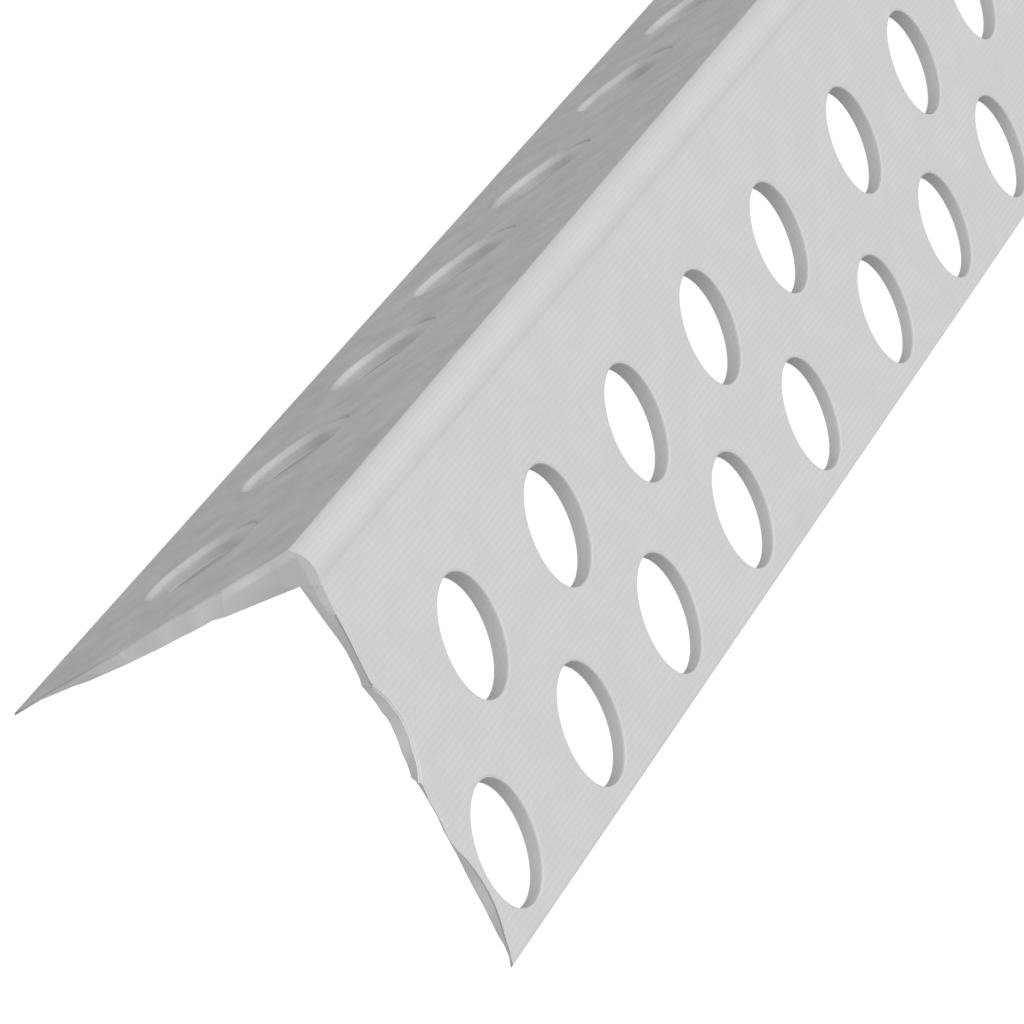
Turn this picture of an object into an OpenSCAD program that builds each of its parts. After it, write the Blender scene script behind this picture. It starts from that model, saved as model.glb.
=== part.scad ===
// Perforated corner bead: one extruded strip of angle section with a rounded nose,
// a wide wing with two staggered rows of punched holes and a narrow wing with one row.
// The strip lies along Y and stands on the lips of its two wings, nose up.

/* [Strip] */
// Length of the strip
strip_length = 2400; // [600:10:3000]
// Angle between the outer faces of the two wings
wing_angle = 80.3; // [76:0.1:92]

/* [Wings] */
// Width of the wide wing, from the corner of the outer faces to the lip
wide_wing = 26; // [22:0.1:32]
// Width of the narrow wing, from the corner of the outer faces to the lip
narrow_wing = 20; // [18:0.1:25]
// Wall of the wide wing at the inner corner
wide_root_wall = 1.2; // [1.1:0.05:1.5]
// Wall of the narrow wing at the inner corner
narrow_root_wall = 2; // [1.8:0.05:2.2]
// Distance from the corner of the outer faces to the end of the narrow wing's thicker root
root_run = 6; // [4:0.5:7]
// Wall of the narrow wing at the end of its thicker root
narrow_wall = 1; // [0.9:0.05:1.2]
// Wall at the lip of each wing
edge_wall = 0.8; // [0.6:0.05:0.85]
// Radius of the round lip of each wing
lip_r = 0.45; // [0.45:0.01:0.55]

/* [Nose] */
// Radius of the rounded nose
nose_r = 1.8; // [1.7:0.05:1.9]
// Height of the nose above the outer face of the wide wing
nose_rise = 0.12; // [0.08:0.01:0.16]
// Distance of the nose's centre from the corner of the outer faces, along the wide wing
nose_back = 1.75; // [1.6:0.05:1.9]

/* [Holes] */
// Diameter of every punched hole
hole_d = 7.2; // [4:0.1:7.6]
// Spacing of the holes along a row
hole_pitch = 15; // [10:0.1:20]
// Plain strip between the lower row of the wide wing and its lip
wide_edge_strip = 1.4; // [1.2:0.1:2.4]
// Plain strip between the two rows of the wide wing
row_strip = 2.2; // [0.8:0.1:4.8]
// Plain strip between the row of the narrow wing and its lip
narrow_edge_strip = 4.4; // [1.4:0.1:7.4]
// Distance of the first whole hole of the upper row from the near end
first_hole_y = 12.8; // [11.6:0.1:14]
// How far the lower row is set back towards the near end
lower_row_shift = 7.1; // [5:0.1:9]
// How far the row of the narrow wing is set back towards the near end
narrow_row_shift = 2.1; // [0:0.1:3]
// Holes made in one row by one stroke of the punch
stroke_holes = 10; // [6:1:20]
// Extra spacing where one stroke of the punch ends and the next begins
stroke_step = 2.5; // [0:0.1:5]
// Whole holes of the first stroke that the near end keeps
first_stroke_holes = 5; // [2:1:6]

/* [Hidden] */
$fn = 96;

// Inner corner, seen from the corner of the outer faces along the wide wing
inner_u = (narrow_root_wall + wide_root_wall * cos(wing_angle)) / sin(wing_angle);

// Lean of the two wings that brings both lips down to the same floor
lip_depth = edge_wall / 2;
wide_lip_reach = norm([wide_wing - lip_r, lip_depth]);
narrow_lip_reach = norm([narrow_wing - lip_r, lip_depth]);
wide_lip_angle = atan2(lip_depth, wide_wing - lip_r);
narrow_lip_angle = atan2(lip_depth, narrow_wing - lip_r);
lean_sum = 180 - wing_angle + wide_lip_angle + narrow_lip_angle;
wide_reach_angle = atan2(
    narrow_lip_reach * sin(lean_sum),
    wide_lip_reach + narrow_lip_reach * cos(lean_sum)
);
narrow_reach_angle = lean_sum - wide_reach_angle;
wide_lean = wide_reach_angle - wide_lip_angle;
narrow_lean = narrow_reach_angle - narrow_lip_angle;

// Corner of the outer faces: the lips touch the floor and the strip is centred on it
corner_z = wide_lip_reach * sin(wide_reach_angle) + lip_r;
corner_x = (narrow_lip_reach * cos(narrow_reach_angle) - wide_lip_reach * cos(wide_reach_angle)) / 2;

// Nose: depth of its centre below the wide wing's outer face, its place along the narrow wing,
// and the block that keeps it out of the inner corner
nose_depth = nose_r - nose_rise;
nose_narrow_u = nose_back * cos(wing_angle) + nose_depth * sin(wing_angle);
nose_foot_u = nose_back + sqrt(pow(nose_r, 2) - pow(nose_depth, 2));
crown_u = nose_foot_u + 0.4;
crown_wall = 0.4 * wide_root_wall;

// How far each run reaches past the ends before the strip is cut to length
wings_over = 1;
lip_over = 2;
nose_over = 3;
crown_over = 4;
trim_over = 5;

// Block that spans the section when the ends are cut
end_block = 3 * (wide_wing + narrow_wing);

// Stock that is trimmed off the narrow wing to leave its outer face in one plane
trim_stock = 0.25 * edge_wall;
trim_block = 3 * nose_r;

// Distance of each row from the corner, laid out from the lip of its wing
wide_lower_row = wide_wing - wide_edge_strip - hole_d / 2;
wide_upper_row = wide_lower_row - row_strip - hole_d;
narrow_row = narrow_wing - narrow_edge_strip - hole_d / 2;

// Reach of the punch, and the last hole within the strip
punch_reach = 3 * wide_root_wall;
last_hole = ceil(strip_length / hole_pitch);

// Distance of hole i of the upper row from the near end
function hole_y(i) =
    first_hole_y + i * hole_pitch
    + stroke_step * floor((i + stroke_holes - first_stroke_holes) / stroke_holes);

// Point of the section, u along a wing from the corner and h out of its outer face
function wide_point(u, h) = [
    corner_x + u * cos(wide_lean) + h * sin(wide_lean),
    corner_z - u * sin(wide_lean) + h * cos(wide_lean)
];
function narrow_point(u, h) = [
    corner_x - u * cos(narrow_lean) - h * sin(narrow_lean),
    corner_z - u * sin(narrow_lean) + h * cos(narrow_lean)
];

// Frame of the wide wing: X runs from the corner to the lip, Z stands out of its outer face
module on_wide_wing() {
    translate([corner_x, 0, corner_z])
        rotate([0, wide_lean, 0])
            children();
}

// Frame of the narrow wing, laid out in the same way
module on_narrow_wing() {
    translate([corner_x, 0, corner_z])
        mirror([1, 0, 0])
            rotate([0, narrow_lean, 0])
                children();
}

// Round bar over the length of the strip, with some over at each end
module round_along(radius, over) {
    rotate([90, 0, 0])
        cylinder(r = radius, h = strip_length + 2 * over, center = true);
}

// The two wings, tapering from the inner corner towards the lips,
// with the stock that the narrow wing's outer face is trimmed from
module wings() {
    rotate([90, 0, 0])
        linear_extrude(height = strip_length + 2 * wings_over, center = true)
            polygon([
                wide_point(nose_back, 0),
                wide_point(wide_wing - lip_r, 0),
                wide_point(wide_wing - lip_r, -edge_wall),
                wide_point(inner_u, -wide_root_wall),
                narrow_point(root_run, -narrow_wall),
                narrow_point(narrow_wing - lip_r, -edge_wall),
                narrow_point(narrow_wing - lip_r, trim_stock),
                narrow_point(nose_narrow_u, trim_stock)
            ]);
}

// Round lip of a wing
module lip(width) {
    translate([width - lip_r, 0, -lip_depth])
        round_along(lip_r, lip_over);
}

// Part of the section that the nose may fill
module crown() {
    rotate([90, 0, 0])
        linear_extrude(height = strip_length + 2 * crown_over, center = true)
            polygon([
                wide_point(crown_u, -crown_wall),
                wide_point(crown_u, nose_r),
                wide_point(0, nose_r),
                narrow_point(0, nose_r),
                narrow_point(crown_u, nose_r),
                narrow_point(crown_u, -crown_wall)
            ]);
}

// Rounded nose along the corner
module nose() {
    intersection() {
        on_wide_wing()
            translate([nose_back, 0, -nose_depth])
                round_along(nose_r, nose_over);
        crown();
    }
}

// Block that trims the nose and the lip flush with the outer face of the narrow wing
module trim() {
    translate([-trim_block, -strip_length / 2 - trim_over, 0])
        cube([narrow_wing + 2 * trim_block, strip_length + 2 * trim_over, trim_block]);
}

// The extruded run: wings, nose and lips, trimmed flush on the narrow wing's side
module bead_run() {
    difference() {
        union() {
            wings();
            nose();
            on_wide_wing()
                lip(wide_wing);
            on_narrow_wing()
                lip(narrow_wing);
        }
        on_narrow_wing()
            trim();
    }
}

// The run cut square to its length at both ends
module bead_strip() {
    intersection() {
        bead_run();
        cube([end_block, strip_length, end_block], center = true);
    }
}

// One row of punched holes, square to the outer face of a wing
module hole_row(row_u, shift) {
    for (i = [-1 : last_hole]) {
        y = hole_y(i) - shift;
        if (y > -hole_d / 2 && y < strip_length + hole_d / 2)
            translate([row_u, y - strip_length / 2, -punch_reach])
                cylinder(d = hole_d, h = 2 * punch_reach);
    }
}

// Corner bead: the extruded strip with its punched rows
module corner_bead() {
    color([0.82, 0.82, 0.81])
        difference() {
            bead_strip();
            on_wide_wing() {
                hole_row(wide_upper_row, 0);
                hole_row(wide_lower_row, lower_row_shift);
            }
            on_narrow_wing()
                hole_row(narrow_row, narrow_row_shift);
        }
}

corner_bead();
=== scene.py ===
"""Looks of a perforated corner bead that stands nose up on a pale studio floor.

The strip is modelled in millimetres in the part's own frame, scaled to metres
once it is finished, and dressed as a matte extruded plastic.
"""

import logging
import math
from collections.abc import Callable, Iterator
from contextlib import contextmanager
from dataclasses import dataclass, field
from enum import Enum
from typing import Any

import bpy
from mathutils import Matrix, Quaternion, Vector


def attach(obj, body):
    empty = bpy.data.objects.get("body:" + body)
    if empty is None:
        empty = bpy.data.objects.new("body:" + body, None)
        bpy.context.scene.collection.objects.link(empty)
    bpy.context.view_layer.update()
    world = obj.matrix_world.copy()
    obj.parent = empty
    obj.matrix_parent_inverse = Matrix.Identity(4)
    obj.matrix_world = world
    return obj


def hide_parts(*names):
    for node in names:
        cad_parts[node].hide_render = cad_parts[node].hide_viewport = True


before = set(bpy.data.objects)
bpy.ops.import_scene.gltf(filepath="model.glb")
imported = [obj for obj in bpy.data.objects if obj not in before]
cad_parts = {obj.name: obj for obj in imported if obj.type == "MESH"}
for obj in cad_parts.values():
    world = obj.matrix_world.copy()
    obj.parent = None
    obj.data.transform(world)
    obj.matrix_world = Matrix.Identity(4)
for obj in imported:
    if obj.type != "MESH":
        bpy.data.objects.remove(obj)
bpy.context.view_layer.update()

LOG = logging.getLogger("corner_bead")
METRES_PER_MM = 0.001
MM_PER_METRE = 1000.0
MIDDLE = 0.5

Colour = tuple[float, float, float, float]
Span = tuple[float, float]
Place = tuple[float, float, float]

WHITE: Colour = (1.0, 1.0, 1.0, 1.0)


class Side(Enum):
    """The two wings, each with the turn about Z that points its lip outwards."""

    WIDE = 0.0
    NARROW = math.pi

    @property
    def along(self) -> float:
        """Sense of the strip's Y in the wing's own frame, 1 or -1."""
        return 1.0 if self is Side.WIDE else -1.0


@dataclass(frozen=True)
class Section:
    """Sizes of the extruded section, in millimetres and radians."""

    length: float = 2400.0
    wing_angle: float = math.radians(80.3)
    wide_wing: float = 26.0
    narrow_wing: float = 20.0
    wide_root_wall: float = 1.2
    narrow_root_wall: float = 2.0
    root_run: float = 6.0
    narrow_wall: float = 1.0
    edge_wall: float = 0.8
    lip_r: float = 0.45
    nose_r: float = 1.8
    nose_rise: float = 0.12
    nose_back: float = 1.75
    foot_r: float = 2.0
    shoulder_r: float = 0.25
    lip_edge_r: float = 0.12
    nose_steps: int = 18
    blend_steps: int = 5
    lip_steps: int = 3

    def width(self, side: Side) -> float:
        """Width of a wing, from the corner of the outer faces to its lip."""
        return self.wide_wing if side is Side.WIDE else self.narrow_wing

    def lip_u(self, side: Side) -> float:
        """Distance of the centre of a wing's lip from the corner."""
        return self.width(side) - self.lip_r

    def lip_reach(self, side: Side) -> float:
        """Straight distance from the corner to the centre of a lip."""
        return math.hypot(self.lip_u(side), self.edge_wall / 2)

    def lip_angle(self, side: Side) -> float:
        """Angle at the corner between a wing's outer face and its lip's centre."""
        return math.atan2(self.edge_wall / 2, self.lip_u(side))

    def reach_angle(self, side: Side) -> float:
        """Slope from the corner down to the centre of a lip, both lips on the floor.

        Args:
            side: The wing.

        Returns:
            The angle below the horizontal, in radians.
        """
        total = math.pi - self.wing_angle + sum(map(self.lip_angle, Side))
        wide, narrow = self.lip_reach(Side.WIDE), self.lip_reach(Side.NARROW)
        slope = math.atan2(narrow * math.sin(total), wide + narrow * math.cos(total))
        return slope if side is Side.WIDE else total - slope

    def lean(self, side: Side) -> float:
        """Slope of a wing's outer face below the horizontal."""
        return self.reach_angle(side) - self.lip_angle(side)

    @property
    def corner(self) -> Vector:
        """Corner of the outer faces, in the part's frame."""
        spread = [self.lip_reach(s) * math.cos(self.reach_angle(s)) for s in Side]
        rise = self.lip_reach(Side.WIDE) * math.sin(self.reach_angle(Side.WIDE))
        return Vector(((spread[1] - spread[0]) / 2, 0.0, rise + self.lip_r))

    def end_u(self, side: Side) -> float:
        """Distance from the corner at which a wing's inner edge comes down to the floor."""
        lean = self.lean(side)
        return (self.corner.z - self.edge_wall * math.cos(lean)) / math.sin(lean)

    @property
    def inner_u(self) -> float:
        """Distance of the inner corner from the outer one, along the wide wing."""
        sine, cosine = math.sin(self.wing_angle), math.cos(self.wing_angle)
        return (self.narrow_root_wall + self.wide_root_wall * cosine) / sine

    def root_of(self, side: Side) -> tuple[float, float]:
        """Distance from the corner and wall at which a wing begins to taper evenly."""
        if side is Side.WIDE:
            return self.inner_u, self.wide_root_wall
        return self.root_run, self.narrow_wall

    def taper(self, side: Side) -> float:
        """Loss of wall along a wing, per length."""
        start, wall = self.root_of(side)
        return (wall - self.edge_wall) / (self.lip_u(side) - start)

    def place(self, side: Side) -> Matrix:
        """Frame of a wing: X runs down to its lip and Z stands out of its outer face.

        Args:
            side: The wing.

        Returns:
            The matrix from the wing's frame to the part's frame.
        """
        turn = Matrix.Rotation(side.value, 4, "Z")
        tilt = Matrix.Rotation(self.lean(side), 4, "Y")
        return Matrix.Translation(self.corner) @ turn @ tilt

    def point(self, side: Side, u: float, height: float) -> Vector:
        """Point of the section.

        Args:
            side: The wing that it is laid out on.
            u: Distance along the wing from the corner.
            height: Height above the wing's outer face.

        Returns:
            The point, in the part's frame.
        """
        return self.place(side) @ Vector((u, 0.0, height))

    def arc(
        self, side: Side, centre: Vector, radius: float, first: float, last: float, steps: int
    ) -> list[Vector]:
        """Points of an arc of the section.

        Args:
            side: The wing that it is laid out on.
            centre: Distance along the wing and height above it of the arc's centre.
            radius: Its radius, below zero for a hollow arc.
            first: Angle of its first point, from the wing's normal towards its lip.
            last: Angle of its last point.
            steps: Number of its steps.

        Returns:
            The points in order, in the part's frame.
        """
        angles = [first + (last - first) * step / steps for step in range(steps + 1)]
        return [
            self.point(side, centre.x + radius * math.sin(a), centre.y + radius * math.cos(a))
            for a in angles
        ]

    def outline(self) -> list[Vector]:
        """Points around the section, from the wide lip over the nose and back inside.

        Returns:
            The points in order, in the part's frame.
        """
        wide, narrow = Side.WIDE, Side.NARROW
        depth = self.nose_r - self.nose_rise
        nose = Vector((self.nose_back, -depth))
        sine, cosine = math.sin(self.wing_angle), math.cos(self.wing_angle)
        nose_aside = Vector(
            (nose.x * cosine + depth * sine, depth * cosine - nose.x * sine)
        )
        foot_run = math.sqrt((self.nose_r + self.foot_r) ** 2 - (depth + self.foot_r) ** 2)
        foot_turn = math.atan2(foot_run, depth + self.foot_r)
        drop = -nose_aside.y - self.shoulder_r
        run = math.sqrt((self.nose_r - self.shoulder_r) ** 2 - drop**2)
        turn = math.atan2(run, drop)
        edge, right = self.lip_edge_r, math.pi / 2
        lips = {side: Vector((self.end_u(side) - edge, -edge)) for side in Side}
        return [
            self.point(wide, self.end_u(wide), -self.edge_wall),
            *self.arc(wide, lips[wide], edge, right, 0.0, self.lip_steps),
            *self.arc(
                wide,
                Vector((nose.x + foot_run, self.foot_r)),
                -self.foot_r,
                0.0,
                foot_turn,
                self.blend_steps,
            ),
            *self.arc(
                wide,
                nose,
                self.nose_r,
                foot_turn,
                self.wing_angle + turn - math.pi,
                self.nose_steps,
            )[1:],
            *self.arc(
                narrow,
                Vector((nose_aside.x - run, -self.shoulder_r)),
                self.shoulder_r,
                -turn,
                0.0,
                self.blend_steps,
            )[1:],
            *self.arc(narrow, lips[narrow], edge, 0.0, right, self.lip_steps),
            self.point(narrow, self.end_u(narrow), -self.edge_wall),
            self.point(narrow, self.root_run, -self.narrow_wall),
            self.point(wide, self.inner_u, -self.wide_root_wall),
        ]


@dataclass(frozen=True)
class Row:
    """One row of punched holes: its wing, its plain edge and its set-back."""

    side: Side
    edge_strip: float
    set_back: float


@dataclass(frozen=True)
class Punching:
    """Sizes of the punched rows, in millimetres."""

    hole_r: float = 3.6
    pitch: float = 15.0
    first_hole: float = 12.8
    stroke_holes: int = 10
    stroke_step: float = 2.5
    first_stroke_holes: int = 5
    strokes: int = 17
    fine_strokes: int = 2
    fine_sides: int = 72
    plain_sides: int = 26
    rim_r: float = 0.16
    rim_steps: int = 2
    rim_sink: float = 0.004
    reach: float = 3.6
    clear: float = 1.2
    rows: tuple[Row, ...] = (
        Row(Side.WIDE, 10.8, 0.0),
        Row(Side.WIDE, 1.4, 7.1),
        Row(Side.NARROW, 4.4, 2.1),
    )

    @property
    def stroke_pitch(self) -> float:
        """Length of strip that one stroke of the punch serves."""
        return self.stroke_holes * self.pitch + self.stroke_step

    @property
    def start(self) -> float:
        """Distance of the first stroke's first hole from the near end."""
        return self.first_hole - (self.stroke_holes - self.first_stroke_holes) * self.pitch


@dataclass(frozen=True)
class WornEnd:
    """The near end as it was cut: slanted, chipped and a little uneven, in millimetres."""

    depth: float = 8.0
    wide_first: float = 4.3
    narrow_first: float = 5.4
    step: float = 0.8
    reach: float = 1.9
    bow: int = 3
    digits: int = 2
    deepest: float = 1.5
    waver: float = 0.05
    waver_base: float = 1.5
    slow_waver: float = 2.3
    quick_waver: float = 5.1
    quick_share: float = 0.6
    quick_shift: float = 1.0
    root_slant: float = -0.5
    root_until: float = 6.8
    lead_slant: float = 1.2
    notch_slant: float = 0.35
    tail_slant: float = 1.6
    notch_u: float = 11.6
    notch_reach: float = 3.4
    chip_from: float = 18.2
    chip_depth: float = 1.3
    narrow_slant: float = 4.4
    narrow_lead: float = 1.6
    tip_lead: float = 1.2

    def stations(self, side: Side, width: float) -> list[float]:
        """Distances from the corner at which the end of a wing is divided.

        Args:
            side: The wing.
            width: How far it reaches.

        Returns:
            The distances, from the root to short of the lip.
        """
        first = self.wide_first if side is Side.WIDE else self.narrow_first
        count = int((width - self.step / 2 - first) / self.step)
        return [first + index * self.step for index in range(count + 1)]

    def slant(self, side: Side, u: float, width: float) -> float:
        """How far the inner edge lies behind the square cut.

        Args:
            side: The wing.
            u: Distance along it from the corner.
            width: How far it reaches.

        Returns:
            The distance along the strip.
        """
        if side is Side.NARROW:
            return self.narrow_slant * (u / width) ** self.bow - self.narrow_lead
        if u < self.root_until:
            return self.root_slant + (self.lead_slant - self.root_slant) * u / self.root_until
        plain = self.lead_slant if u < self.notch_u else self.tail_slant
        share = min(abs(u - self.notch_u) / self.notch_reach, 1.0) ** self.bow
        return self.notch_slant + (plain - self.notch_slant) * share

    def chip(self, side: Side, u: float, width: float) -> float:
        """How far the outer edge lies behind the square cut, broken near the wide wing's lip.

        Args:
            side: The wing.
            u: Distance along it from the corner.
            width: How far it reaches.

        Returns:
            The distance along the strip.
        """
        if side is Side.NARROW:
            return -self.tip_lead * u / width
        if u < self.chip_from:
            return 0.0
        return self.chip_depth * math.sin(math.pi * (u - self.chip_from) / (width - self.chip_from))

    def unevenness(self, u: float) -> float:
        """How far the cut strays along the strip at a distance from the corner."""
        slow = math.sin(self.slow_waver * u)
        quick = self.quick_share * math.sin(self.quick_waver * u + self.quick_shift)
        return self.waver * (self.waver_base + slow + quick)


class Bench:
    """Modelling steps by operator that the strip and its tools share."""

    @staticmethod
    def take(piece: bpy.types.Object) -> None:
        """Select one piece alone and make it active."""
        bpy.ops.object.select_all(action="DESELECT")
        piece.select_set(True)
        bpy.context.view_layer.objects.active = piece

    @classmethod
    @contextmanager
    def editing(cls, piece: bpy.types.Object) -> Iterator[None]:
        """Open a piece in edit mode for the length of a with block."""
        cls.take(piece)
        bpy.ops.object.mode_set(mode="EDIT")
        bpy.ops.mesh.select_mode(type="VERT")
        yield
        bpy.ops.object.mode_set(mode="OBJECT")

    @staticmethod
    def pick(piece: bpy.types.Object, test: Callable[[Vector], bool]) -> None:
        """Select, outside edit mode, the vertices whose place passes a test.

        Args:
            piece: The piece whose selection changes.
            test: Says whether a vertex at a place is wanted.
        """
        mesh = piece.data
        for parts in (mesh.polygons, mesh.edges):
            parts.foreach_set("select", [False] * len(parts))
        mesh.vertices.foreach_set("select", [test(v.co) for v in mesh.vertices])

    @staticmethod
    def settle() -> None:
        """Write the active piece's place, turn and scale into its mesh."""
        bpy.ops.object.transform_apply(location=True, rotation=True, scale=True)

    @classmethod
    def draw(cls, points: list[Vector], run: Vector) -> bpy.types.Object:
        """Draw a closed outline point by point and extrude it.

        Args:
            points: The outline's points in order.
            run: How far the outline is extruded.

        Returns:
            The closed solid.
        """
        bpy.ops.object.select_all(action="DESELECT")
        bpy.ops.mesh.primitive_plane_add(size=1.0, location=points[0])
        piece = bpy.context.object
        cls.settle()
        with cls.editing(piece):
            bpy.ops.mesh.select_all(action="SELECT")
            bpy.ops.mesh.merge(type="CENTER")
            for last, point in zip(points, points[1:]):
                bpy.ops.mesh.extrude_region_move(TRANSFORM_OT_translate={"value": point - last})
            bpy.ops.mesh.select_all(action="SELECT")
            bpy.ops.mesh.edge_face_add()
            bpy.ops.mesh.extrude_region_move(TRANSFORM_OT_translate={"value": run})
            bpy.ops.mesh.select_all(action="SELECT")
            bpy.ops.mesh.normals_make_consistent(inside=False)
        return piece

    @classmethod
    def divide(
        cls, piece: bpy.types.Object, at: Vector, across: Vector, test: Callable[[Vector], bool]
    ) -> None:
        """Divide the faces of part of a piece along a plane.

        Args:
            piece: The piece.
            at: A point of the plane.
            across: The plane's normal.
            test: Says whether a vertex at a place belongs to the part.
        """
        cls.pick(piece, test)
        with cls.editing(piece):
            bpy.ops.mesh.bisect(plane_co=at, plane_no=across)

    @classmethod
    def nudge(
        cls, piece: bpy.types.Object, way: Vector, test: Callable[[Vector], bool]
    ) -> None:
        """Move some vertices of a piece.

        Args:
            piece: The piece.
            way: How far they move.
            test: Says whether a vertex at a place moves.
        """
        cls.pick(piece, test)
        with cls.editing(piece):
            bpy.ops.transform.translate(value=way)

    @classmethod
    def set_down(cls, piece: bpy.types.Object, place: Matrix) -> None:
        """Move a piece's mesh from a wing's frame into the part's frame."""
        cls.take(piece)
        piece.matrix_world = place
        cls.settle()

    @classmethod
    def finish_with(cls, piece: bpy.types.Object, kind: str, **settings: Any) -> None:
        """Add one modifier to a piece and apply it.

        Args:
            piece: The piece to change.
            kind: The modifier's type.
            **settings: Its settings by name.
        """
        cls.take(piece)
        bpy.ops.object.modifier_add(type=kind)
        modifier = piece.modifiers[-1]
        for key, value in settings.items():
            setattr(modifier, key, value)
        bpy.ops.object.modifier_apply(modifier=modifier.name)

    @classmethod
    def punch_out(cls, piece: bpy.types.Object, tool: bpy.types.Object) -> None:
        """Remove a closed solid from a piece and use the solid up."""
        cls.finish_with(
            piece, "BOOLEAN", operation="DIFFERENCE", solver="MANIFOLD", object=tool
        )
        bpy.data.objects.remove(tool)

    @classmethod
    def repeat(cls, piece: bpy.types.Object, count: int, step: float) -> None:
        """Repeat a piece along Y.

        Args:
            piece: The piece to repeat.
            count: How many there are in all.
            step: Distance from one to the next.
        """
        cls.finish_with(
            piece,
            "ARRAY",
            count=count,
            use_relative_offset=False,
            use_constant_offset=True,
            constant_offset_displace=(0.0, step, 0.0),
        )


@dataclass(frozen=True)
class Grain:
    """A cloudy grain: its size in millimetres, its finer octaves and the shift that sets it apart."""

    across: float
    along: float
    detail: float
    shift: float


class Tone:
    """A number that varies over a surface, open to arithmetic."""

    def __init__(self, paint: "Paint", socket: bpy.types.NodeSocket) -> None:
        """Wrap one output socket of a material's nodes."""
        self.paint = paint
        self.socket = socket

    def _math(self, operation: str, first: Any, second: Any) -> "Tone":
        """Add one Math node.

        Args:
            operation: The node's operation.
            first: Its first value or tone.
            second: Its second value or tone.

        Returns:
            The tone that comes out.
        """
        made = self.paint.add("ShaderNodeMath", {"operation": operation}, {0: first, 1: second})
        return Tone(self.paint, made.outputs[0])

    def wave(self, period: float) -> "Tone":
        """Even wave between -1 and 1 along this tone.

        Args:
            period: Length of one wave.

        Returns:
            The wave.
        """
        return self._math("SINE", self * (math.tau / period), 0.0)

    def __add__(self, other: Any) -> "Tone":
        """Sum with a tone or number on the right."""
        return self._math("ADD", self, other)

    def __radd__(self, other: Any) -> "Tone":
        """Sum with a number on the left."""
        return self._math("ADD", other, self)

    def __sub__(self, other: Any) -> "Tone":
        """Difference with a tone or number on the right."""
        return self._math("SUBTRACT", self, other)

    def __rsub__(self, other: Any) -> "Tone":
        """Difference with a number on the left."""
        return self._math("SUBTRACT", other, self)

    def __mul__(self, other: Any) -> "Tone":
        """Product with a tone or number on the right."""
        return self._math("MULTIPLY", self, other)

    def __rmul__(self, other: Any) -> "Tone":
        """Product with a number on the left."""
        return self._math("MULTIPLY", other, self)


class Paint:
    """The nodes of one material, with the places of the colour sockets on a Mix node."""

    MIX_SHARE, MIX_LOW, MIX_HIGH, MIX_COLOUR = 0, 6, 7, 2

    def __init__(self, name: str) -> None:
        """Start a material with its shader and nothing else."""
        self.material = bpy.data.materials.new(name)
        self.material.use_nodes = True
        self.nodes = self.material.node_tree.nodes
        self.links = self.material.node_tree.links
        self.shader = self.nodes["Principled BSDF"]

    def feed(self, node: bpy.types.Node, key: int | str, value: Any) -> None:
        """Set or link one input of a node.

        Args:
            node: The node.
            key: The input's place or name.
            value: A plain value, a tone or a socket.
        """
        if isinstance(value, Tone):
            value = value.socket
        if isinstance(value, bpy.types.NodeSocket):
            self.links.new(value, node.inputs[key])
        else:
            node.inputs[key].default_value = value

    def add(
        self,
        kind: str,
        settings: dict[str, Any] | None = None,
        inputs: dict[int | str, Any] | None = None,
    ) -> bpy.types.Node:
        """Add one node.

        Args:
            kind: The node's type.
            settings: Its settings, which are set first.
            inputs: The values or links of its inputs.

        Returns:
            The node.
        """
        node = self.nodes.new(kind)
        for key, value in (settings or {}).items():
            setattr(node, key, value)
        for key, value in (inputs or {}).items():
            self.feed(node, key, value)
        return node

    def grain(self, grain: Grain) -> Tone:
        """Cloudy grain on the piece's own coordinates, about 0.5 on average.

        Args:
            grain: Its size, octaves and shift.

        Returns:
            The grain as a tone from 0 to 1.
        """
        spot = self.add("ShaderNodeTexCoord").outputs["Object"]
        across, along = (MM_PER_METRE / size for size in (grain.across, grain.along))
        mapped = self.add(
            "ShaderNodeMapping",
            inputs={
                "Vector": spot,
                "Location": (grain.shift,) * 3,
                "Scale": (across, along, across),
            },
        )
        noise = self.add(
            "ShaderNodeTexNoise",
            inputs={"Vector": mapped.outputs[0], "Scale": 1.0, "Detail": grain.detail},
        )
        return Tone(self, noise.outputs[0])

    def axis(self, name: str) -> Tone:
        """One of the piece's own coordinates.

        Args:
            name: The axis, X, Y or Z.

        Returns:
            The coordinate as a tone, in millimetres.
        """
        spot = self.add("ShaderNodeTexCoord").outputs["Object"]
        parted = self.add("ShaderNodeSeparateXYZ", inputs={0: spot})
        return Tone(self, parted.outputs[name]) * MM_PER_METRE

    def ramp(self, value: Tone, first: float, last: float) -> Tone:
        """Soft step from 0 to 1.

        Args:
            value: The tone that the step follows.
            first: Its value where the step is still 0.
            last: Its value where the step has come to 1.

        Returns:
            The step as a tone.
        """
        step = self.add(
            "ShaderNodeMapRange",
            {"interpolation_type": "SMOOTHSTEP"},
            {"Value": value, "From Min": first, "From Max": last},
        )
        return Tone(self, step.outputs[0])

    def blend(self, share: Tone, low: Any, high: Any) -> bpy.types.NodeSocket:
        """Mix two colours by a tone.

        Args:
            share: How much of the second colour shows.
            low: The colour or colour socket at 0.
            high: The colour or colour socket at 1.

        Returns:
            The mixed colour's socket.
        """
        mixed = self.add(
            "ShaderNodeMix",
            {"data_type": "RGBA", "clamp_factor": True},
            {self.MIX_SHARE: share, self.MIX_LOW: low, self.MIX_HIGH: high},
        )
        return mixed.outputs[self.MIX_COLOUR]


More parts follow.
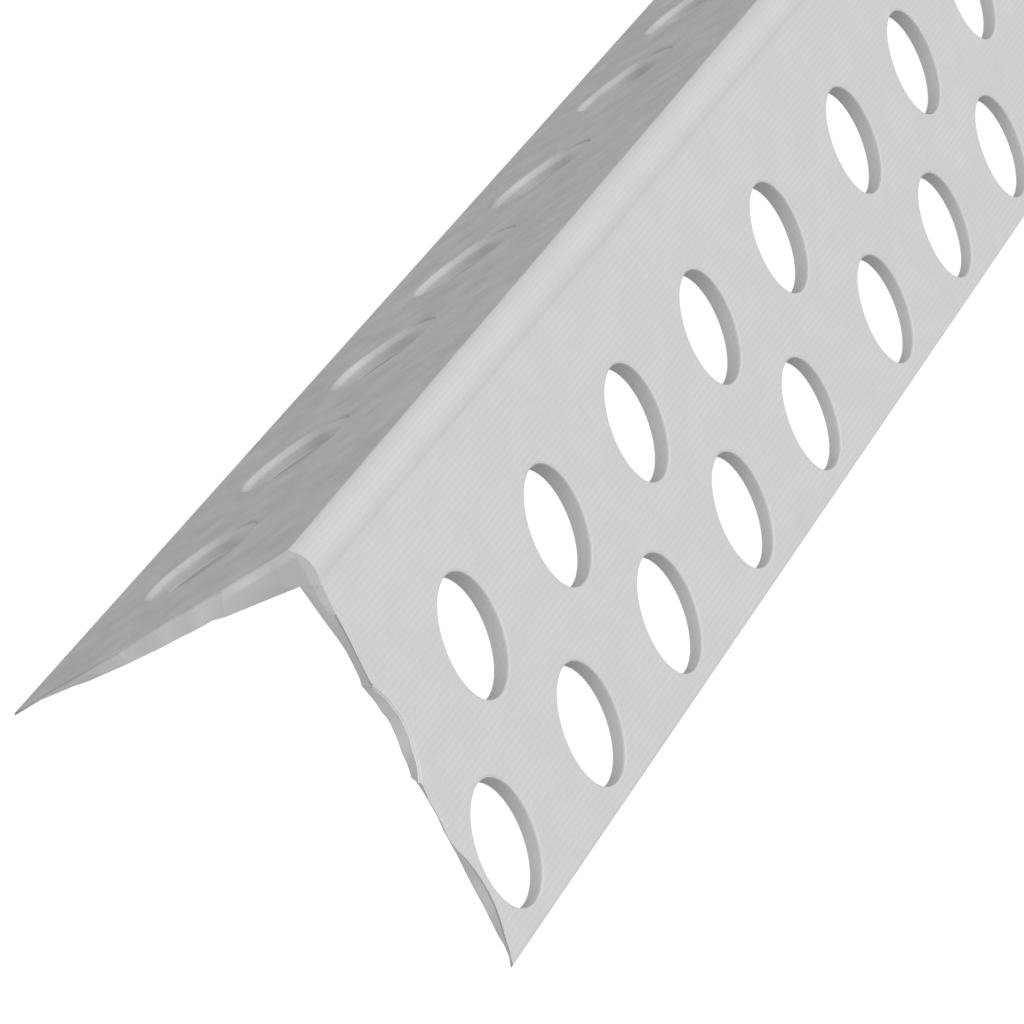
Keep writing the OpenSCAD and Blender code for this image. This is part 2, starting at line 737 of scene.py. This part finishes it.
@dataclass(frozen=True)
class MattePlastic:
    """Extruded plastic: drawing lines on the wide wing, blotches on the narrow one, painted light and
    shade on the cut end and in the holes.

    Sizes are in millimetres. A span gives where a tone is still 0 and where it has come to 1.
    """

    name: str = "matte_extruded_plastic"
    low: Colour = (0.50, 0.50, 0.497, 1.0)
    high: Colour = (0.74, 0.74, 0.737, 1.0)
    # The colours below are painted shade and painted light: painted shade for hole walls, deep slits
    # and the cut end's root; painted light for the slits' tops and the wings' cut ends.
    painted_shade: Colour = (0.30, 0.30, 0.298, 1.0)
    painted_light: Colour = (0.92, 0.92, 0.917, 1.0)
    narrow_end_painted_light: Colour = (0.66, 0.66, 0.657, 1.0)
    root_end_painted_shade: Colour = (0.54, 0.54, 0.537, 1.0)
    roughness: float = 0.6
    roughness_spread: float = 0.14
    specular: float = 0.2
    sway: Grain = Grain(across=9.0, along=70.0, detail=1.0, shift=3.0)
    specks: Grain = Grain(across=0.24, along=0.24, detail=1.0, shift=7.0)
    clouds: Grain = Grain(across=2.4, along=4.0, detail=3.0, shift=13.0)
    blotches: Grain = Grain(across=2.4, along=2.4, detail=4.0, shift=29.0)
    line_period: float = 0.29
    line_sway: float = 0.6
    line_share: float = 0.10
    speck_share: float = 0.24
    cloud_share: float = 0.20
    blotch_share: float = 1.2
    blotch_side: Span = (-4.6, -5.6)
    wall_skin: Span = (0.09, 0.18)
    inner_skin: float = 0.08
    nose_sink: Span = (0.42, 0.60)
    wide_root: Span = (4.29, 4.32)
    narrow_root: Span = (1.6, 6.2)
    # Shares and spans of the painted shade in the holes, the painted light at the slits' tops, and
    # the painted light and shade on the cut end.
    wall_painted_shade: float = 0.30
    slit_painted_shade: float = 0.38
    slit_deep: Span = (0.26, 0.50)
    slit_painted_light: float = 0.80
    slit_top: Span = (0.6, -2.2)
    tip_height: Span = (8.5, 3.5)
    painted_end_reach: Span = (4.8, 2.4)
    relief: float = 0.012
    relief_lines: float = 0.3
    relief_strength: float = 0.35

    def make(self, section: Section, punching: Punching) -> bpy.types.Material:
        """Build the material.

        Args:
            section: The section, for the place of the wings' faces.
            punching: The punched rows, for the place of the narrow wing's row.

        Returns:
            The finished material.
        """
        paint = Paint(self.name)
        lines = (paint.axis("X") + paint.grain(self.sway) * self.line_sway).wave(self.line_period)
        specks = paint.grain(self.specks)
        clouds = paint.grain(self.clouds)
        colour = self._plain(paint, lines, specks, clouds)
        # Painted light and shade in the holes and on the cut end, over the plastic's own tone.
        colour = self._paint_hole_light_and_shade(paint, section, punching, colour)
        colour = self._paint_end_light_and_shade(paint, section, colour)
        paint.feed(paint.shader, "Base Color", colour)
        dullness = self.roughness + (clouds - MIDDLE) * self.roughness_spread
        paint.feed(paint.shader, "Roughness", dullness)
        paint.feed(paint.shader, "Specular IOR Level", self.specular)
        bump = paint.add(
            "ShaderNodeBump",
            inputs={
                "Strength": self.relief_strength,
                "Distance": self.relief * METRES_PER_MM,
                "Height": lines * self.relief_lines + specks,
            },
        )
        paint.feed(paint.shader, "Normal", bump.outputs[0])
        return paint.material

    def _plain(
        self, paint: Paint, lines: Tone, specks: Tone, clouds: Tone
    ) -> bpy.types.NodeSocket:
        """Colour of the outer faces.

        Args:
            paint: The material's nodes.
            lines: The drawing lines, from -1 to 1.
            specks: The fine grain.
            clouds: The broad grain.

        Returns:
            The colour's socket.
        """
        blotches = paint.grain(self.blotches)
        narrow = paint.ramp(paint.axis("X"), *self.blotch_side)
        share = (
            MIDDLE
            + lines * clouds * (1.0 - narrow) * self.line_share
            + (specks - MIDDLE) * self.speck_share
            + (clouds - MIDDLE) * self.cloud_share
            + (blotches - MIDDLE) * narrow * self.blotch_share
        )
        return paint.blend(share, self.low, self.high)

    def _paint_hole_light_and_shade(
        self, paint: Paint, section: Section, punching: Punching, colour: bpy.types.NodeSocket
    ) -> bpy.types.NodeSocket:
        """Paint light and shade on the holes' walls: painted shade on the wide wing's walls, painted
        shade deep in the narrow wing's slits and painted light at their tops.

        Args:
            paint: The material's nodes.
            section: The section.
            punching: The punched rows.
            colour: The colour so far.

        Returns:
            The new colour's socket.
        """
        down, sink = self._spot(paint, section, Side.NARROW)
        row = section.narrow_wing - punching.rows[-1].edge_strip - punching.hole_r
        top = paint.ramp(down - row, *self.slit_top)
        deep = paint.ramp(sink, *self.slit_deep) * (1.0 - top)
        wide, narrow = (self._walls(paint, section, side) for side in Side)
        # Painted shade on the wide wing's hole walls and deep in the narrow wing's slits, painted
        # light at the slits' tops.
        colour = paint.blend(wide * self.wall_painted_shade, colour, self.painted_shade)
        colour = paint.blend(narrow * deep * self.slit_painted_shade, colour, self.painted_shade)
        return paint.blend(narrow * top * self.slit_painted_light, colour, self.painted_light)

    def _paint_end_light_and_shade(
        self, paint: Paint, section: Section, colour: bpy.types.NodeSocket
    ) -> bpy.types.NodeSocket:
        """Paint light and shade on the cut faces of the near end: painted shade on its root, painted
        light on the wings' ends and on the wide wing's hole walls near the end.

        Args:
            paint: The material's nodes.
            section: The section.
            colour: The colour so far.

        Returns:
            The new colour's socket.
        """
        near = paint.ramp(paint.axis("Y") + section.length / 2, *self.painted_end_reach)
        wide_down, wide_sink = self._spot(paint, section, Side.WIDE)
        narrow_sink = self._spot(paint, section, Side.NARROW)[1]
        below_nose = paint.ramp(wide_sink, *self.nose_sink) * paint.ramp(narrow_sink, *self.nose_sink)
        root = below_nose * (1.0 - paint.ramp(wide_down, *self.wide_root))
        band = paint.ramp(narrow_sink, *self.wall_skin) * paint.ramp(wide_sink, *self.narrow_root)
        tip = paint.ramp(paint.axis("Z"), *self.tip_height)
        # Painted shade on the root of the cut end; painted light on the narrow wing's end, lighter
        # still lower down, and on the wide wing's end and hole walls.
        colour = paint.blend(root * near, colour, self.root_end_painted_shade)
        colour = paint.blend(band * near, colour, self.narrow_end_painted_light)
        colour = paint.blend(band * near * tip, colour, self.painted_light)
        return paint.blend(self._walls(paint, section, Side.WIDE) * near, colour, self.painted_light)

    def _spot(self, paint: Paint, section: Section, side: Side) -> tuple[Tone, Tone]:
        """Place on a wing.

        Args:
            paint: The material's nodes.
            section: The section.
            side: The wing.

        Returns:
            Tones of the distance along the wing from the corner and of the depth below its
            outer face.
        """
        corner, lean = section.corner, section.lean(side)
        outwards = (paint.axis("X") - corner.x) * side.along
        rise = paint.axis("Z") - corner.z
        down = outwards * math.cos(lean) - rise * math.sin(lean)
        sink = outwards * -math.sin(lean) - rise * math.cos(lean)
        return down, sink

    def _walls(self, paint: Paint, section: Section, side: Side) -> Tone:
        """Faces that lie between the outer and the inner face of a wing, clear of the nose.

        Args:
            paint: The material's nodes.
            section: The section.
            side: The wing.

        Returns:
            A tone that is 1 on its ends and hole walls.
        """
        down, sink = self._spot(paint, section, side)
        start, wall = section.root_of(side)
        taper = section.taper(side)
        inner = wall + taper * start
        within = paint.ramp(sink + down * taper, inner, inner - self.inner_skin)
        if side is Side.WIDE:
            clear = paint.ramp(down, *self.wide_root)
        else:
            clear = paint.ramp(self._spot(paint, section, Side.WIDE)[1], *self.narrow_root)
        return paint.ramp(sink, *self.wall_skin) * within * clear


@dataclass
class CornerBead:
    """The strip: two tapering wings on a rounded nose, with three punched rows."""

    section: Section = field(default_factory=Section)
    punching: Punching = field(default_factory=Punching)
    finish: MattePlastic = field(default_factory=MattePlastic)
    name: str = "corner_bead_strip"
    body: str = "root"
    node: str = "corner_bead"
    slot: str = "bead_plastic"
    worn: WornEnd = field(default_factory=WornEnd)
    hair: float = 0.01
    smooth_angle: float = math.radians(35.0)

    def build(self) -> bpy.types.Object:
        """Model the strip.

        Returns:
            The strip, in metres, with its place in its mesh.
        """
        size = self.section
        near = Vector((0.0, -size.length / 2, 0.0))
        strip = Bench.draw(
            [near + point for point in size.outline()], Vector((0.0, size.length, 0.0))
        )
        strip.name = self.name
        self._divide_end(strip)
        notched, *others = self.punching.rows
        Bench.punch_out(strip, self._punch(notched, True))
        self._wear_end(strip)
        Bench.punch_out(strip, self._punch(notched, False))
        for row in others:
            for fine in (True, False):
                Bench.punch_out(strip, self._punch(row, fine))
        self._close_up(strip)
        return strip

    def dress(self, strip: bpy.types.Object) -> None:
        """Give the strip its plastic and its place in the part's frame."""
        strip.data.materials.clear()
        strip.data.materials.append(self.finish.make(self.section, self.punching))
        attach(strip, self.body)
        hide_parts(self.node)

    def _divide_end(self, strip: bpy.types.Object) -> None:
        """Divide the faces of the near end so that its edges can stray."""
        size, worn = self.section, self.worn
        limit = worn.depth - size.length / 2
        Bench.divide(
            strip, Vector((0.0, limit, 0.0)), Vector((0.0, 1.0, 0.0)), lambda at: True
        )
        for side in Side:
            across = size.place(side).to_3x3() @ Vector((1.0, 0.0, 0.0))
            for u in worn.stations(side, size.end_u(side)):
                Bench.divide(
                    strip,
                    size.point(side, u, 0.0),
                    across,
                    lambda at: at.y < limit + self.hair,
                )

    def _wear_end(self, strip: bpy.types.Object) -> None:
        """Slant and chip the near end and let its edges stray a little."""
        size, worn = self.section, self.worn
        end = -size.length / 2
        for side in Side:
            back, width = size.place(side).inverted(), size.end_u(side)
            root = size.inner_u if side is Side.WIDE else size.root_run
            first = min(root, worn.narrow_first)
            spots = [
                back @ vertex.co
                for vertex in strip.data.vertices
                if vertex.co.y < end + worn.reach
            ]
            on_wing = [spot.x for spot in spots if -worn.deepest < spot.z < self.hair]
            stops = sorted({round(u, worn.digits) for u in on_wing})
            for u in (stop for stop in stops if first - self.hair < stop < width + self.hair):
                stray = worn.unevenness(u) if root < u < width - self.hair else 0.0
                inner = stray + worn.slant(side, u, width)
                outer = stray + worn.chip(side, u, width)
                for move, deep in ((inner, True), (outer, False)):
                    Bench.nudge(
                        strip,
                        Vector((0.0, move, 0.0)),
                        lambda at: self._at_end(at, back @ at, u, deep),
                    )

    def _at_end(self, at: Vector, spot: Vector, u: float, deep: bool) -> bool:
        """Say whether a vertex belongs to the near end at a distance from the corner.

        Args:
            at: The vertex in the part's frame.
            spot: The same vertex in a wing's frame.
            u: The distance from the corner.
            deep: Whether the inner edge is meant, or else the outer one.

        Returns:
            Whether it does.
        """
        near = at.y < self.worn.reach - self.section.length / 2
        on_side = (-spot.z > self.section.edge_wall / 2) == deep
        return near and on_side and abs(spot.x - u) < self.hair / 2

    def _punch(self, row: Row, fine: bool) -> bpy.types.Object:
        """Model the punches of one row, each flared where it enters the outer face.

        Args:
            row: The row.
            fine: Whether these are the near strokes, with rounder holes, or the rest.

        Returns:
            The punches, in the part's frame.
        """
        size, punching = self.section, self.punching
        first = 0 if fine else punching.fine_strokes
        count = punching.fine_strokes if fine else punching.strokes - punching.fine_strokes
        along = row.side.along
        u = size.width(row.side) - row.edge_strip - punching.hole_r
        start = punching.start + first * punching.stroke_pitch - row.set_back - size.length / 2
        centre = Vector((u, along * start, -punching.reach))
        bpy.ops.object.select_all(action="DESELECT")
        bpy.ops.mesh.primitive_circle_add(
            vertices=punching.fine_sides if fine else punching.plain_sides,
            radius=punching.hole_r,
            fill_type="NGON",
            location=centre,
        )
        punch = bpy.context.object
        Bench.settle()
        with Bench.editing(punch):
            bpy.ops.mesh.select_all(action="SELECT")
            radius, height = punching.hole_r, centre.z
            rim = punching.rim_r
            for step in range(punching.rim_steps + 1):
                angle = math.pi / 2 * step / punching.rim_steps
                wider = punching.hole_r + rim * (1.0 - math.cos(angle))
                higher = rim * (math.sin(angle) - 1.0) - punching.rim_sink
                self._extrude(higher - height, wider / radius, centre)
                radius, height = wider, higher
            self._extrude(punching.clear, 1.0, centre)
            bpy.ops.mesh.select_all(action="SELECT")
            bpy.ops.mesh.normals_make_consistent(inside=False)
        Bench.repeat(punch, punching.stroke_holes, along * punching.pitch)
        Bench.repeat(punch, count, along * punching.stroke_pitch)
        Bench.set_down(punch, size.place(row.side))
        return punch

    @staticmethod
    def _extrude(height: float, widen: float, centre: Vector) -> None:
        """Extrude the selected face upwards and widen it about an upright axis.

        Args:
            height: How far it goes up.
            widen: Factor on its width.
            centre: A point of the axis.
        """
        bpy.ops.mesh.extrude_region_move(TRANSFORM_OT_translate={"value": (0.0, 0.0, height)})
        if widen != 1.0:
            bpy.ops.transform.resize(value=(widen, widen, 1.0), center_override=centre)

    def _close_up(self, strip: bpy.types.Object) -> None:
        """Scale the finished strip to metres and set its shading."""
        Bench.take(strip)
        strip.scale = (METRES_PER_MM,) * 3
        Bench.settle()
        bpy.ops.object.shade_smooth_by_angle(angle=self.smooth_angle)
        Bench.finish_with(strip, "WEIGHTED_NORMAL", keep_sharp=True)


@dataclass(frozen=True)
class Studio:
    """Pale floor, one broad soft light from above, even fill and the camera.

    Sizes and places are in metres, and the spans of the floor's painted shade in millimetres.
    """

    floor_size: float = 60.0
    floor_colour: Colour = (0.1, 0.1, 0.1, 1.0)
    floor_roughness: float = 1.0
    floor_specular: float = 0.0
    floor_glow: float = 1.0
    shade_colour: Colour = (0.27, 0.27, 0.27, 1.0)
    shade_left: Span = (-15.0, -14.0)
    shade_right: Span = (-10.5, -11.5)
    shade_start: Span = (-1185.0, -1182.0)
    shade_end: Span = (1185.0, 1182.0)
    light_place: Place = (0.6, -1.6, 2.0)
    light_from: Place = (0.30, -0.4, 0.867)
    light_strength: float = 2.18
    light_spread: float = math.radians(50.0)
    fill_strength: float = 0.43
    camera_place: Place = (0.038236, -1.48405, 0.186876)
    camera_aim: Place = (-0.001225, -1.15, -0.003487)
    camera_roll: float = math.radians(24.746)
    lens: float = 226.048
    sensor: float = 36.0
    clip_start: float = 0.01

    def lay_floor(self) -> bpy.types.Object:
        """Lay the floor, with a painted shade under the narrow wing.

        Returns:
            The floor.
        """
        bpy.ops.object.select_all(action="DESELECT")
        bpy.ops.mesh.primitive_plane_add(size=self.floor_size)
        floor = bpy.context.object
        floor.name = "studio_floor"
        paint = Paint("pale_floor")
        paint.feed(paint.shader, "Base Color", self.floor_colour)
        paint.feed(paint.shader, "Roughness", self.floor_roughness)
        paint.feed(paint.shader, "Specular IOR Level", self.floor_specular)
        across, along = paint.axis("X"), paint.axis("Y")
        # Painted shade: the floor's glow is lowered in a band under the narrow wing.
        shade = (
            paint.ramp(across, *self.shade_left)
            * paint.ramp(across, *self.shade_right)
            * paint.ramp(along, *self.shade_start)
            * paint.ramp(along, *self.shade_end)
        )
        paint.feed(paint.shader, "Emission Color", paint.blend(shade, WHITE, self.shade_colour))
        paint.feed(paint.shader, "Emission Strength", self.floor_glow)
        floor.data.materials.append(paint.material)
        floor.visible_diffuse = False
        floor.visible_glossy = False
        return floor

    def light(self) -> None:
        """Hang the broad light and set the fill from all sides."""
        turn = Vector(self.light_from).to_track_quat("Z", "Y").to_euler()
        bpy.ops.object.light_add(type="SUN", location=self.light_place, rotation=turn)
        lamp = bpy.context.object.data
        lamp.energy = self.light_strength
        lamp.angle = self.light_spread
        world = bpy.data.worlds.new("studio_fill")
        world.use_nodes = True
        fill = world.node_tree.nodes["Background"]
        fill.inputs["Color"].default_value = WHITE
        fill.inputs["Strength"].default_value = self.fill_strength
        bpy.context.scene.world = world

    def aim_camera(self) -> None:
        """Stand the camera where it sees the near end from above the nose."""
        place = Vector(self.camera_place)
        look = (Vector(self.camera_aim) - place).to_track_quat("-Z", "Y")
        turn = look @ Quaternion((0.0, 0.0, 1.0), self.camera_roll)
        bpy.ops.object.camera_add(location=place, rotation=turn.to_euler())
        camera = bpy.context.object
        camera.data.lens = self.lens
        camera.data.sensor_width = self.sensor
        camera.data.clip_start = self.clip_start
        bpy.context.scene.camera = camera
        bpy.context.scene.view_settings.view_transform = "Standard"


def main() -> None:
    """Build the bead and the studio in order and report each piece."""
    logging.basicConfig(level=logging.INFO, format="%(name)s: %(message)s")
    bead = CornerBead()
    strip = bead.build()
    bead.dress(strip)
    LOG.info("%s: %d faces", strip.name, len(strip.data.polygons))
    studio = Studio()
    floor = studio.lay_floor()
    LOG.info("%s laid", floor.name)
    studio.light()
    studio.aim_camera()


if __name__ == "__main__":
    main()
